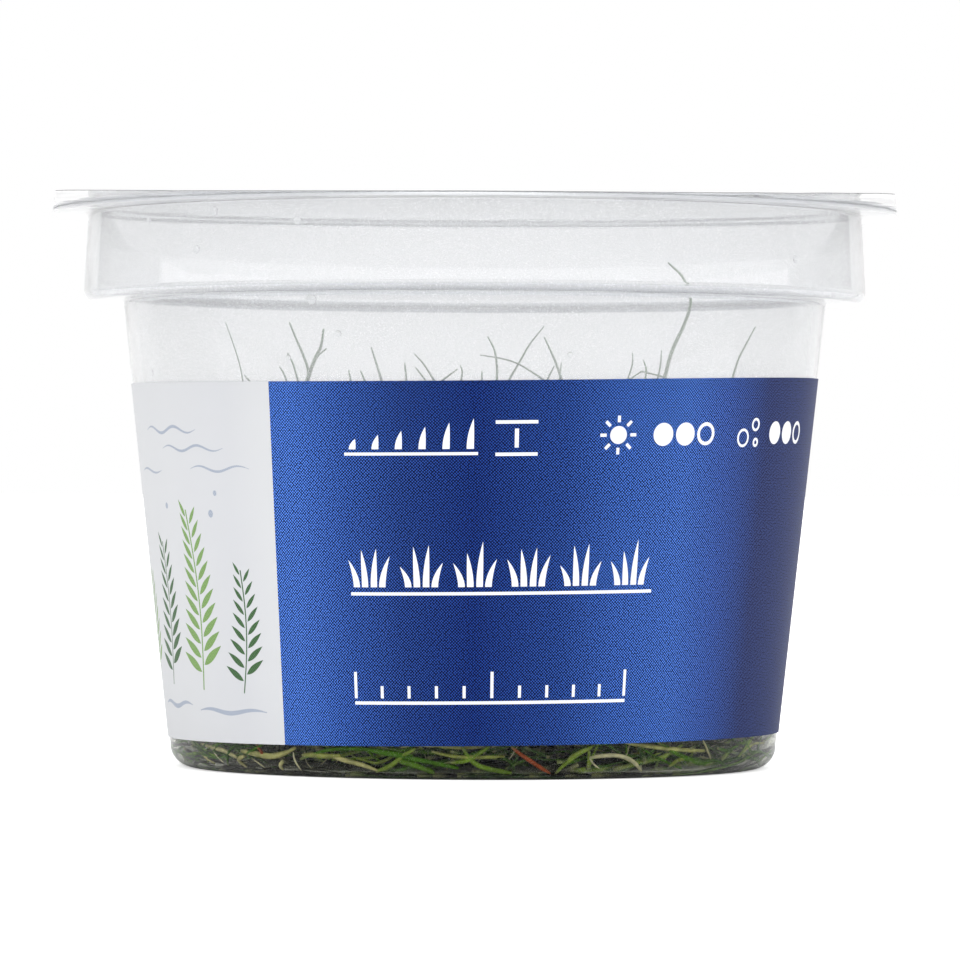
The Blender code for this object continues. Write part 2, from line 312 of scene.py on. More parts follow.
# Strands that lie on the front wall: tone, width in mm, then (bearing in degrees, height in mm)
PLACED_STRANDS = (
    (0.86, 0.5, ((-62, 3.1), (-57.8, 2.8), (-53.6, 2.5), (-49.8, 1.9))),
    (0.8, 0.62, ((-48.5, 2.6), (-45, 2.4), (-41, 2.2), (-37.5, 2.5), (-34.6, 3.2))),
    (0.9, 0.24, ((-35, 2.7), (-34.8, 1.9), (-34.1, 0.9))),
    (0.85, 0.44, ((-37.6, 1.8), (-38.7, 1.3), (-38.5, 0.9))),
    (0.84, 0.46, ((-47.4, 2.1), (-49.5, 1.7), (-48, 1))),
    (0.89, 0.2, ((-45.4, 1.9), (-43.8, 1.4), (-42.8, 1))),
    (0.84, 0.46, ((-63, 2.4), (-60.5, 1.7), (-58, 1.2))),
    (0.9, 0.2, ((-57.5, 2.6), (-56, 1.9), (-54.5, 1.3))),
    (0.42, 0.34, ((-61, 1.2), (-57, 2.4), (-54, 3.7))),
    (0.36, 0.36, ((-66, 3.6), (-62, 2.6), (-58.5, 3.6))),
    (0.34, 0.38, ((-53.6, 1.1), (-52, 2.4), (-49, 3.5))),
    (0.46, 0.36, ((-47, 2.3), (-44, 3), (-41, 3.8))),
    (0.97, 0.4, ((-44, 3.4), (-43, 2.7), (-42, 2.1))),
    (0.44, 0.42, ((-33.6, 2), (-27, 3.1), (-19, 3.2), (-11, 2.6))),
    (0.74, 0.56, ((-33.2, 2.4), (-30.4, 2.5), (-27.2, 2.4), (-25, 2.5))),
    (0.83, 0.48, ((-27, 2.4), (-24, 2), (-20.8, 1.6), (-18, 1.1))),
    (0.45, 0.5, ((-22, 3.4), (-16, 2.8), (-9, 2.1), (-2.6, 1.4))),
    (0.5, 0.6, ((-14, 2.1), (-11, 1.7), (-7.1, 0.95))),
    (0.63, 0.52, ((-18.4, 1), (-15.5, 1.5), (-13, 2.5), (-10.5, 3.4))),
    (0.58, 0.54, ((-1.9, 3.6), (-0.6, 2.4), (1.8, 1.5), (7.2, 0.95))),
    (0.6, 0.44, ((-4, 1.9), (-0.9, 2.2), (1.4, 3), (3.2, 3.8))),
    (0.72, 0.4, ((-7.5, 3.1), (-3.8, 2.6), (1.6, 2.5), (5.8, 2.6))),
    (0.955, 0.44, ((7, 3.6), (9, 2.7), (11.8, 1.7), (14.6, 0.9))),
    (0.62, 0.46, ((15.6, 0.9), (17.4, 1.9), (20.2, 3), (22.6, 3.7))),
    (0.66, 0.5, ((17.6, 2.2), (19.7, 2.9), (22.2, 3.5))),
    (0.88, 0.46, ((21.8, 2.4), (25.2, 2.6), (28.3, 2.5), (31, 1.9), (33.4, 1))),
    (0.9, 0.18, ((21.8, 2.4), (22.6, 1.8), (24, 1.3))),
    (0.78, 0.5, ((28.2, 4), (33, 3.6), (40, 3.1), (48.3, 2.8))),
    (0.47, 0.56, ((36, 4), (41, 2.6), (46.4, 1.7), (53.5, 1.5))),
    (0.42, 0.28, ((31.6, 3.6), (36, 2.3), (43, 1.1))),
    (0.87, 0.28, ((47.3, 4.1), (48.8, 3), (50.2, 1.9))),
    (0.68, 0.46, ((39.5, 1.4), (41.2, 1.9), (43, 2.1))),
    (0.4, 0.42, ((52, 3), (56, 2.7), (60, 3.6))),
    (0.48, 0.4, ((60, 4.3), (63.5, 2.9), (67.5, 1.4))),
    (0.62, 0.36, ((66, 4.2), (62.5, 3), (59, 1.7))),
    (0.44, 0.34, ((70, 4.2), (68.5, 2.9), (69.5, 1.6))),
    (0.76, 0.34, ((72, 3.2), (66, 3.2), (61, 2.4))),
)


def inside_radius(z, wall=WALL):
    """Inner radius of the cup at a height, as far as the ledge, for a wall of this thickness."""
    z = np.asarray(z)
    foot_reach = np.sqrt(np.clip((FOOT_FILLET - wall) ** 2 - (FOOT_FILLET - z) ** 2, 0, None))
    return np.where(z < FOOT_FILLET, BASE_RADIUS + foot_reach, body_radius(z) - wall)


def kept_inside(paths, radii, wall=WALL, clearance=WALL_CLEARANCE):
    """Moves points that would pass the wall back to it, so that strands lie along the plastic."""
    paths[..., 2] = np.maximum(paths[..., 2], wall + clearance + radii)
    reach = np.hypot(paths[..., 0], paths[..., 1])
    limit = inside_radius(paths[..., 2], wall) - radii - clearance
    paths[..., :2] *= np.minimum(1.0, limit / np.maximum(reach, 1e-9))[..., None]
    return paths


def unit(vectors):
    return vectors / np.maximum(np.linalg.norm(vectors, axis=-1, keepdims=True), 1e-12)


def strand_mesh(name, paths, radii, tones, sides, materials):
    """One mesh of many round strands. paths is strands x points x 3, and radii strands x points."""
    count, points, _ = paths.shape
    along = unit(np.gradient(paths, axis=1))
    start = np.where(np.abs(along[:, :1, 2:]) > STEEP, [[[1.0, 0.0, 0.0]]], [[[0.0, 0.0, 1.0]]])
    side = np.empty_like(paths)
    carried = start[:, 0]
    for step in range(points):
        ahead = along[:, step]
        carried = unit(carried - (carried * ahead).sum(-1, keepdims=True) * ahead)
        side[:, step] = carried
    across = np.cross(along, side)
    turn = np.arange(sides) * math.tau / sides
    ring = side[:, :, None] * np.cos(turn)[:, None] + across[:, :, None] * np.sin(turn)[:, None]
    verts = paths[:, :, None] + ring * radii[:, :, None, None]
    index = np.arange(count * points * sides).reshape(count, points, sides)
    low, high = index[:, :-1], index[:, 1:]
    quads = np.stack([low, np.roll(low, -1, 2), np.roll(high, -1, 2), high], -1).reshape(-1, 4)
    caps = np.concatenate([index[:, -1], index[:, 0, ::-1]])
    mesh = bpy.data.meshes.new(name)
    mesh.from_pydata(verts.reshape(-1, 3).tolist(), [], quads.tolist() + caps.tolist())
    mesh.shade_smooth()
    reach = np.tile(np.repeat(np.linspace(0, 1, points), sides), count)
    for label, values in (("tone", np.repeat(tones, points * sides)), ("reach", reach)):
        mesh.attributes.new(label, "FLOAT", "POINT").data.foreach_set("value", values)
    for material in materials:
        mesh.materials.append(material)
    return mesh


def joined(first, second, material_index=0):
    """One mesh from two. The second's faces get the given material of the first."""
    for face in second.polygons:
        face.material_index = material_index
    bm = bmesh.new()
    bm.from_mesh(first)
    bm.from_mesh(second)
    bm.to_mesh(first)
    bm.free()
    bpy.data.meshes.remove(second)
    return first


def colours_along(tree, value, stops):
    """Colours that run along a value, from (place, colour) stops."""
    ramp = put(tree, "ShaderNodeValToRGB", {"Fac": value})
    elements = ramp.color_ramp.elements
    elements.remove(elements[1])
    for index, (place, colour) in enumerate(stops):
        element = elements.new(place) if index else elements[0]
        element.position, element.color = place, (*colour, 1)
    return ramp.outputs["Color"]


def living_colour_group():
    """Colour of a strand by its tone, paler at its foot, with fine streaks along it."""
    group, given, result = new_group(
        "living_colour",
        (
            ("Vector", "Vector"),
            ("Foot", "Color", (0.42, 0.43, 0.22, 1)),
            ("Foot reach", "Float", 0.25),
            # Painted light: a pale grey-green veil for the backlight seen through the milky collar
            ("Bloom", "Color", (0.26, 0.37, 0.25, 1)),
            ("Bloom share", "Float", 0.0),
        ),
        (("Color", "Color"), ("Height", "Float")),
    )
    tone = put(group, "ShaderNodeAttribute", attribute_name="tone")
    reach = put(group, "ShaderNodeAttribute", attribute_name="reach")
    stops = (
        # The lowest tones, near black, are painted shade for the mat's unlit depths. The rest are the
        # strands' own colours
        (0.0, (0.005, 0.004, 0.002)),
        (0.12, (0.016, 0.017, 0.005)),
        (0.25, (0.026, 0.070, 0.008)),
        (0.45, (0.075, 0.190, 0.014)),
        (0.60, (0.190, 0.310, 0.035)),
        (0.72, (0.330, 0.370, 0.090)),
        (0.84, (0.600, 0.560, 0.260)),
        (0.92, (0.740, 0.710, 0.540)),
        (0.95, (0.420, 0.090, 0.030)),
        (1.0, (0.100, 0.042, 0.022)),
    )
    ramp = colours_along(group, tone.outputs["Fac"], stops)
    fine = {"Vector": given.outputs["Vector"], "Scale": 900.0, "Detail": 2.0}
    streak = put(group, "ShaderNodeTexNoise", fine)
    lightness = remapped(group, streak.outputs["Fac"], (0.3, 0.7), (0.65, 1.35))
    shade = put(group, "ShaderNodeHueSaturation", {"Color": ramp, "Value": lightness})
    foot = remapped(group, reach.outputs["Fac"], (0.0, given.outputs["Foot reach"]), (0.75, 0.0))

    def mixed(share, under, over):
        """One colour over another by a share."""
        node = put(group, "ShaderNodeMix", {"Factor": share, 6: under, 7: over}, data_type="RGBA")
        return node.outputs[2]

    footed = mixed(foot, shade.outputs["Color"], given.outputs["Foot"])
    # The veil is painted light, laid over the strand's own colour
    veiled_colour = mixed(given.outputs["Bloom share"], footed, given.outputs["Bloom"])
    group.links.new(veiled_colour, result.inputs["Color"])
    group.links.new(streak.outputs["Fac"], result.inputs["Height"])
    return group


LIVING_COLOUR = living_colour_group()


def plant_material(name, roughness, foot_reach, painted_veil=0.0):
    """Green, wet plant skin. The foot is the pale share of each strand, and the painted veil is painted
    light: a pale grey-green laid over the colour for the backlight seen through the milky collar.
    """
    material, tree, shader = new_material(
        name, Roughness=roughness, Metallic=0.0, IOR=1.4, Specular_IOR_Level=0.2
    )
    place = put(tree, "ShaderNodeTexCoord")
    colour = use_group(
        tree, LIVING_COLOUR, Vector=place.outputs["Object"], Foot_reach=foot_reach, Bloom_share=painted_veil
    )
    rippled(tree, shader, colour.outputs["Height"], 0.3, 0.1 * MM)
    tree.links.new(colour.outputs["Color"], shader.inputs["Base Color"])
    return material


def bowed_paths(draw, start, end, bow, points):
    """Strands from start to end, each bowed to one side and slightly wavy."""
    t = np.linspace(0, 1, points)[None, :, None]
    chord = end - start
    bend = np.cross(unit(chord), unit(draw.normal(size=start.shape)))
    length = np.linalg.norm(chord, axis=1, keepdims=True)
    arch = bend * length * bow[:, None]
    wave = unit(draw.normal(size=start.shape)) * length * 0.03
    phase = draw.uniform(0, math.tau, (len(start), 1, 1))
    bowed = start[:, None] + chord[:, None] * t + arch[:, None] * 4 * t * (1 - t)
    return bowed + wave[:, None] * np.sin(t * 9 + phase)


def lying_strands(draw, count, reach, heights, lengths, turn_from_rim, slope, bow, thick, tones):
    """Strands that lie on the floor: their paths, radii and tones. A turn of 0 runs along the wall."""
    reach, heights, lengths, thick = (np.array(span) * MM for span in (reach, heights, lengths, thick))
    angle = draw.uniform(0, math.tau, count)
    distance = draw.uniform(*reach, count)
    middle = np.stack([distance * np.cos(angle), distance * np.sin(angle), draw.uniform(*heights, count)], 1)
    heading = angle + math.pi / 2 + draw.normal(0, turn_from_rim, count)
    way = unit(np.stack([np.cos(heading), np.sin(heading), draw.normal(0, slope, count)], 1))
    half = way * draw.uniform(*lengths, count)[:, None] / 2
    paths = bowed_paths(draw, middle - half, middle + half, draw.normal(0, bow, count), TANGLE_POINTS)
    taper = 1 - 0.6 * np.linspace(0, 1, TANGLE_POINTS) ** 2
    radii = draw.uniform(*thick, count)[:, None] * taper[None]
    return paths, radii, np.clip(draw.uniform(*tones, count), 0, 1)


def crowns_on(draw, paths, each):
    """Short blades that fan up from the joints of the runners."""
    joints = paths[:, [2, 7]].reshape(-1, 3).repeat(each, axis=0)
    count = len(joints)
    outward = joints * [1, 1, 0] / np.linalg.norm(joints[:, :2], axis=1, keepdims=True)
    along_wall = np.stack([-outward[:, 1], outward[:, 0], np.zeros(count)], 1)
    fan = draw.normal(0, CROWN_FAN, count)
    way = unit(along_wall * np.sin(fan)[:, None] + [0, 0, 1] * np.cos(fan)[:, None] + outward * 0.2)
    tips = joints + way * draw.uniform(*CROWN_HEIGHT, count)[:, None]
    grown = bowed_paths(draw, joints, tips, draw.normal(0, 0.12, count), TANGLE_POINTS)
    taper = 1 - 0.7 * np.linspace(0, 1, TANGLE_POINTS) ** 2
    radii = draw.uniform(*CROWN_RADIUS, count)[:, None] * taper[None]
    return grown, radii, draw.uniform(0.28, 0.66, count)


def smooth_route(points, count):
    """A smooth run of count points through the given ones, evenly spaced along it."""
    points = np.array(points)
    padded = np.concatenate([[2 * points[0] - points[1]], points, [2 * points[-1] - points[-2]]])
    fine = []
    for before, start, end, after in zip(padded, padded[1:], padded[2:], padded[3:]):
        for t in np.linspace(0, 1, 12, endpoint=False):
            straight = 2 * start + (end - before) * t
            bend = (2 * before - 5 * start + 4 * end - after) * t**2
            twist = (3 * start - before - 3 * end + after) * t**3
            fine.append((straight + bend + twist) / 2)
    fine = np.array([*fine, points[-1]])
    run = np.concatenate([[0], np.cumsum(np.linalg.norm(np.diff(fine, axis=0), axis=1))])
    even = np.linspace(0, run[-1], count)
    return np.stack([np.interp(even, run, fine[:, axis]) for axis in range(3)], 1)


def placed_strands(draw):
    """The strands along the front wall: their paths, radii and tones."""
    paths, radii, tones = [], [], []
    along = np.abs(np.linspace(-1, 1, PLACED_POINTS))
    for tone, width, places in PLACED_STRANDS:
        points = []
        for bearing, height in places:
            angle = math.radians(bearing)
            z = height * MM
            reach = float(inside_radius(z, PRESSED_WALL)) - width * MM / 2
            points.append((reach * math.sin(angle), -reach * math.cos(angle), z))
        paths.append(smooth_route(points, PLACED_POINTS))
        swell = 1 - 0.45 * along**3 + draw.normal(0, 0.04, PLACED_POINTS)
        radii.append(swell * width * MM / 2)
        tones.append(tone)
    radii = np.array(radii)
    return kept_inside(np.array(paths), radii, PRESSED_WALL, 0), radii, np.array(tones)


def together(*groups):
    """The paths, radii and tones of several groups of strands as one."""
    return [np.concatenate(parts) for parts in zip(*groups)]


def root_tangle():
    """Near-black strands within, painted shade for the mat's deep inside, and green blades, pale runners and
    fine roots that lie along the wall.
    """
    draw = np.random.default_rng(11)
    skin = [plant_material("tangled_strands", 0.42, 0.12)]
    painted_shade_mass, blades, runners, rootlets, stems = (lying_strands(draw, *group) for group in LOOSE_STRANDS)
    crowns = crowns_on(draw, runners[0], 4)
    paths, radii, tones = together(painted_shade_mass, blades, runners, rootlets, stems, crowns)
    loose = strand_mesh("root_tangle", kept_inside(paths, radii), radii, tones, TANGLE_SIDES, skin)
    front = strand_mesh("placed", *placed_strands(draw), 2 * TANGLE_SIDES, skin)
    sole = lying_strands(draw, *SOLE_STRANDS)
    round_wall = lying_strands(draw, *WALL_STRANDS)
    beside = round_wall[0][:, TANGLE_POINTS // 2, 1] > -FRONT_STRIP_DEPTH
    paths, radii, tones = together([part[beside] for part in round_wall], sole)
    pressed = kept_inside(paths, radii, PRESSED_WALL, 0)
    clinging = strand_mesh("pressed", pressed, radii, tones, TANGLE_SIDES, skin)
    return joined(joined(loose, front), clinging)


add_piece("root_tangle", root_tangle(), "root_fibres", "root_mat")

# Hairgrass
# Twelve plantlets, each a crown of thin round blades. The blades stand closely together up to the
# label's top edge, and a few thin tips rise above it, one of them tall and bent like an S.
BLADES = 4600
BLADE_POINTS = 9
BLADE_SIDES = 4
BLADE_RADIUS = (0.13 * MM, 0.21 * MM)
BLADE_FOOT = (2.0 * MM, 5.0 * MM)
BLADE_TOP = (17 * MM, 41.5 * MM)
BLADE_FIELD = 30.5 * MM
BLADE_TRAVEL = 6.5 * MM
TIP_SHARE = 0.3
TALL_POINTS = 44
TALL_FOOT_POINTS = 12
TALL_ENTRY = 11 * MM
TALL_SIDES = 8
TALL_TONE = (0.2, 0.42)
# Share of painted light on the tall blades: a pale veil for the backlight through the milky collar
TALL_PAINTED_VEIL = 0.7
ROOT_SCATTER = 0.8 * MM
# Blades that show above the label, in mm: depth in front of the axis, width, then (x, z) up to the tip
TALL_BLADES = (
    (25.4, 0.32, ((-17.8, 42.5), (-17.8, 43.8), (-18.4, 45.5), (-19.1, 47.1), (-19.8, 48.8))),
    (26.4, 0.4, ((-17.9, 42.5), (-17.5, 43.6), (-17, 45), (-16.4, 46.2), (-16.1, 48.1))),
    (26, 0.34, ((-17.8, 42.5), (-17.4, 43.8), (-16.8, 45.1), (-15.8, 46))),
    (22, 0.24, ((-19, 42.7), (-19.5, 44.4), (-20.1, 45.6))),
    (24, 0.22, ((-20.1, 42.5), (-20.4, 43.3), (-20.9, 44.1))),
    (18, 0.22, ((-24.3, 42.6), (-24.9, 43.3))),
    (18.8, 0.16, ((-25, 42.6), (-25.3, 44.2), (-25.9, 46.2), (-26.9, 49))),
    (28, 0.28, ((-9.9, 42.6), (-10.3, 43.9), (-11, 46.1))),
    (27, 0.22, ((-13.2, 42.6), (-13.4, 43.7))),
    (30, 0.22, ((-11.6, 42.4), (-12.1, 43.6))),
    (31, 0.24, ((-7.2, 42.5), (-7.4, 44.4))),
    (30, 0.24, ((-4.3, 42.6), (-5.4, 44.3), (-6.4, 45.4))),
    (28, 0.22, ((-5.2, 42.6), (-6.3, 44))),
    (29, 0.24, ((-3.4, 42.6), (-2.6, 43.2), (-1.8, 43.8))),
    (30, 0.22, ((-1.4, 42.6), (-1.3, 43.5), (-1.5, 44.2))),
    (29, 0.22, ((0.8, 42.6), (0.8, 43.6))),
    (27.6, 0.28, ((2.4, 42.8), (2.4, 44.1), (2.1, 45.9), (1.4, 47.3))),
    (29, 0.22, ((7.5, 42.6), (4.8, 44.3), (3, 44.9), (0.6, 45.3))),
    (28.4, 0.26, ((3.7, 42.7), (4.8, 44.6), (5.9, 46.5), (7.4, 48.4))),
    (30, 0.3, ((9.3, 42.6), (8.5, 44.8), (7.4, 47.2))),
    (29, 0.22, ((7.8, 42.8), (8.5, 44.2))),
    (26, 0.2, ((9.1, 42.7), (9.3, 44.6))),
    (
        21.8, 0.42,
        ((20.4, 42.9), (21.2, 45.9), (22.6, 49), (23.2, 51.2), (22.9, 52.4), (22.2, 53.8), (20.8, 55.2)),
    ),
    (25, 0.2, ((16.4, 42.8), (16.9, 44.5), (16.9, 45.7))),
    (27, 0.24, ((18.2, 42.7), (18.3, 43.9), (18, 44.9))),
    (25, 0.22, ((19.6, 42.9), (19.9, 44.5), (20, 46))),
    (23, 0.2, ((20.2, 43.2), (21.1, 42.7))),
    (14.6, 0.26, ((28.2, 43.7), (28.7, 45.3), (29.5, 46.9), (30.5, 48.8))),
)


def crown_place(node):
    """The middle of a CAD plantlet's crown, from its lowest points."""
    points = np.array([vert.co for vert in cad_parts[node].data.vertices])
    low = points[:, 2].min()
    return points[points[:, 2] < low + MM].mean(axis=0)


def curved_paths(root, lift, shoulder, tip, points):
    """Cubic curves: up from the root, over the shoulder and out to the tip."""
    t = np.linspace(0, 1, points)[None, :, None]
    return (
        root[:, None] * (1 - t) ** 3
        + 3 * lift[:, None] * t * (1 - t) ** 2
        + 3 * shoulder[:, None] * t**2 * (1 - t)
        + tip[:, None] * t**3
    )


def field_of_blades(draw):
    """Paths, radii and tones of the dense grass, and the place of each root."""
    angle = draw.uniform(0, math.tau, BLADES)
    reach = BLADE_FIELD * np.sqrt(draw.random(BLADES))
    foot = draw.uniform(*BLADE_FOOT, BLADES)
    root = np.stack([reach * np.cos(angle), reach * np.sin(angle), foot], 1)
    top = BLADE_TOP[0] + (BLADE_TOP[1] - BLADE_TOP[0]) * draw.beta(2.0, 1.3, BLADES)
    travel = draw.normal(0, BLADE_TRAVEL, (BLADES, 2))
    tip = np.column_stack([root[:, :2] * 1.12 + travel, top])
    rise = (top - foot)[:, None] * np.array([[0, 0, 1.0]])
    lift = root + rise * 0.45 + draw.normal(0, ROOT_SCATTER, (BLADES, 3))
    shoulder = root + (tip - root) * [0.45, 0.45, 0.0] + rise * draw.uniform(0.75, 1.05, BLADES)[:, None]
    paths = curved_paths(root, lift, shoulder, tip, BLADE_POINTS)
    thick = draw.uniform(*BLADE_RADIUS, BLADES)
    taper = 1 - (1 - TIP_SHARE) * np.linspace(0, 1, BLADE_POINTS) ** 1.6
    radii = thick[:, None] * taper[None]
    tones = np.clip(draw.normal(0.32, 0.16, BLADES), 0.0, 0.9)
    return root, kept_inside(paths, radii), radii, tones


def tall_blades(draw, crowns):
    """The tall blades, each from the nearest crown: owner, paths, radii and tones."""
    owners, paths, radii = [], [], []
    taper = 1 - 0.5 * np.linspace(0, 1, TALL_POINTS) ** 3
    for depth, width, shown in TALL_BLADES:
        upper = np.array([(x * MM, -depth * MM, z * MM) for x, z in shown])
        owner = int(np.argmin(np.linalg.norm(crowns[:, :2] - upper[0, :2], axis=1)))
        root = np.array([[*crowns[owner][:2] + draw.normal(0, ROOT_SCATTER, 2), BLADE_FOOT[1]]])
        lift = root + [0, 0, TALL_ENTRY]
        entry = upper[0] - unit(upper[1] - upper[0]) * TALL_ENTRY
        foot = curved_paths(root, lift, entry[None], upper[:1], TALL_FOOT_POINTS)
        above = smooth_route(upper, TALL_POINTS - TALL_FOOT_POINTS + 1)
        owners.append(owner)
        paths.append(np.concatenate([foot[0, :-1], above]))
        radii.append(taper * width * MM / 2)
    return np.array(owners), np.array(paths), np.array(radii), draw.uniform(*TALL_TONE, len(paths))


def add_hairgrass():
    """Each blade goes to the plantlet whose crown is nearest to its root."""
    draw = np.random.default_rng(5)
    nodes = [name for name in sorted(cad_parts) if name.startswith("hairgrass_tuft_")]
    crowns = np.array([crown_place(node) for node in nodes])
    root, paths, radii, tones = field_of_blades(draw)
    owner = np.argmin(np.linalg.norm(root[:, None, :2] - crowns[None, :, :2], axis=2), axis=1)
    tall_owner, *tall = tall_blades(draw, crowns)
    skins = [plant_material("grass_blade", 0.38, 0.2), plant_material("tall_blade", 0.4, 0.05, TALL_PAINTED_VEIL)]
    for index, node in enumerate(nodes):
        mine = owner == index
        name = node.replace("tuft", "plantlet")
        mesh = strand_mesh(name, paths[mine], radii[mine], tones[mine], BLADE_SIDES, skins)
        mine = tall_owner == index
        if mine.any():
            upper = strand_mesh("tall", *(part[mine] for part in tall), TALL_SIDES, skins)
            mesh = joined(mesh, upper, 1)
        add_piece(name, mesh, "hairgrass", node)


add_hairgrass()

# Label
# A thin printed plastic sheet round the tapered wall, a little out of level, open at the back. White
# at the left and blue over the front and right, with plain pictograms and rating dots in white.
LABEL_LOW = 3.7 * MM
LABEL_HEIGHT = 38.7 * MM
LABEL_SIDE_RISE = 0.55 * MM
LABEL_TILT = 0.0113
LABEL_ARC_RADIUS = 36.7 * MM
LABEL_HALF_WRAP = math.radians(150)
LABEL_LIFT = 0.16 * MM
LABEL_THICKNESS = 0.1 * MM
LABEL_COLUMN = 1.2 * MM
LABEL_ROW = 2.0 * MM
PANEL_BREAK_LOW = -23.2
PANEL_BREAK_HIGH = -22.4
DOT_POINTS = 30
PANEL_BLUE, PANEL_WHITE, MARK_WHITE, FIRST_WASH = range(4)
RATING_ROW = 32.8
RULE_WIDTH = 0.34
# Blades of a printed clump: offset from its middle, height and lean, in mm
CLUMP_BLADES = ((-1.5, 2.9, -0.9), (-0.55, 4.3, -0.35), (0.45, 4.8, 0.35), (1.4, 3.3, 0.9))
# Wave marks: start, end, height, swing and width in mm, then turns
WAVE_MARKS = (
    (-46, -34, 33.6, 0.35, 0.34, 2),
    (-41.5, -29.5, 31.6, 0.3, 0.3, 2),
    (-35.5, -25.8, 29.4, 0.3, 0.28, 1.5),
    (-50, -42.5, 29.2, 0.25, 0.26, 1),
    (-50, -40, 3.9, 0.25, 0.5, 1.5),
    (-38, -25.6, 3.4, 0.2, 0.5, 1.5),
)
PRINT_WELD = 1e-7
DOT_PITCH = 0.235
DOT_SIZE = 0.5
DOT_LOOSENESS = 0.2


def dot(s, h, radius):
    """A round outline at s along the label and h above its lower edge, in mm."""
    turn = [step * math.tau / DOT_POINTS for step in range(DOT_POINTS)]
    return [(s + radius * math.cos(angle), h + radius * math.sin(angle)) for angle in turn]


def bar(start, end, width):
    """A straight stroke from start to end."""
    start, end = Vector(start), Vector(end)
    run = end - start
    side = Vector((-run.y, run.x)).normalized() * width / 2
    return [tuple(point) for point in (start - side, end - side, end + side, start + side)]


def leaf(s, h, height, lean, width, steps=8):
    """A pointed leaf or blade outline that rises from its foot and leans to one side."""
    left, right = [], []
    for step in range(steps + 1):
        t = step / steps
        centre = s + lean * t**1.8
        half = width / 2 * (1 - t**2.2)
        left.append((centre - half, h + height * t))
        right.append((centre + half, h + height * t))
    return right + left[-2::-1]


def printed_marks():
    """The white print on the blue panel: each mark is an outline and, on a ring, its inner outline."""
    marks = []

    def solid(outline):
        marks.append((outline, None))

    for step in range(6):
        solid(leaf(-12.9 + 2.5 * step, 31.5, 1.1 + 0.42 * step, 0.35, 0.75))
    solid(bar((-13.8, 31.0), (0.4, 31.0), 0.32))
    solid(bar((2.2, 34.3), (6.6, 34.3), 0.36))
    solid(bar((2.2, 30.9), (6.6, 30.9), 0.36))
    solid(bar((4.4, 31.6), (4.4, 33.6), 0.42))
    sun = Vector((15.35, RATING_ROW))
    solid(dot(sun.x, sun.y, 0.95))
    for ray in range(8):
        way = Vector((math.cos(ray * math.pi / 4), math.sin(ray * math.pi / 4)))
        solid(bar(sun + way * 1.35, sun + way * 2.05, RULE_WIDTH))
    for s, h, radius in ((32.2, 32.3, 1.0), (34.3, 33.7, 0.72), (34.5, 31.8, 0.5)):
        marks.append((dot(s, h, radius), dot(s, h, radius - 0.28)))
    for start, gap in ((20.7, 2.82), (38.4, 2.95)):
        solid(dot(start, RATING_ROW, 1.23))
        solid(dot(start + gap, RATING_ROW, 1.23))
        marks.append((dot(start + 2 * gap, RATING_ROW, 1.23), dot(start + 2 * gap, RATING_ROW, 0.85)))
    for clump in range(6):
        middle = -11.4 + 5.8 * clump
        for blade, (offset, height, lean) in enumerate(CLUMP_BLADES):
            shorter = 0.35 * ((clump * 2 + blade) % 3)
            solid(leaf(middle + offset, 16.9, height - shorter, lean, 0.72))
    solid(bar((-13.6, 16.2), (20.4, 16.2), RULE_WIDTH))
    solid(bar((-13.6, 4.6), (17.8, 4.6), RULE_WIDTH))
    for tick in range(11):
        s = -13.45 + 3.11 * tick
        solid(bar((s, 5.1), (s, 7.9 if tick % 5 == 0 else 6.4), RULE_WIDTH))
    return marks


def stem_point(foot, top, sway, t):
    """The place at a share of the way up a stem that sways to one side."""
    return foot.lerp(top, t) + Vector((sway * math.sin(math.pi * t), 0))


def sprig(foot, top, sway, leaves, size):
    """Outlines of a leafy stem: the stem, and narrow leaves that stand off both its sides."""
    foot, top = Vector(foot), Vector(top)
    line = [stem_point(foot, top, sway, step / 16) for step in range(17)]
    half = size * 0.03
    left = [(point.x - half, point.y) for point in line]
    right = [(point.x + half, point.y) for point in line]
    outlines = [left + right[::-1]]
    for index in range(leaves):
        t = 0.1 + 0.86 * index / (leaves - 1)
        side = 1 if index % 2 else -1
        length = size * (1.15 - 0.6 * t)
        heading = math.radians(90 - side * (64 - 30 * t))
        place = stem_point(foot, top, sway, t) + Vector((side * half * 2.5, 0))
        outlines.append(pointed_oval(place, heading, length, length * 0.23))
    return outlines


def pointed_oval(foot, heading, length, width, steps=9):
    """A leaf outline from its foot along a heading."""
    ahead = Vector((math.cos(heading), math.sin(heading)))
    side = Vector((-ahead.y, ahead.x))
    upper, lower = [], []
    for step in range(steps + 1):
        t = step / steps
        half = width / 2 * math.sin(math.pi * t**0.8)
        upper.append(foot + ahead * length * t + side * half)
        lower.append(foot + ahead * length * t - side * half)
    return [tuple(point) for point in lower + upper[-2:0:-1]]


def wave_band(start, end, height, swing, width, turns):
    """A thin wavy stroke that thins out towards both its ends."""
    upper, lower = [], []
    for step in range(33):
        t = step / 32
        s = start + (end - start) * t
        h = height + swing * math.sin(turns * math.tau * t)
        half = width / 2 * math.sin(math.pi * min(max(t, 0.03), 0.97)) ** 0.6
        upper.append((s, h + half))
        lower.append((s, h - half))
    return lower + upper[::-1]


def painted_motifs():
    """The white panel's motifs: leafy stems in a dark and a light green, and grey-blue water marks."""
    dark = sprig((-45.6, 6.0), (-44.6, 21.5), 0.9, 19, 3.6)
    dark += sprig((-29.0, 5.4), (-28.2, 18.6), 0.7, 17, 3.0)
    light = sprig((-36.8, 5.6), (-37.4, 25.0), 1.0, 23, 4.0)
    light += sprig((-53.6, 6.6), (-52.6, 18.0), 0.6, 15, 3.4)
    water = [dot(-32.4, 24.6, 0.42), dot(-31.4, 26.8, 0.3), dot(-42.0, 25.4, 0.34)]
    return dark, light, water + [wave_band(*mark) for mark in WAVE_MARKS]


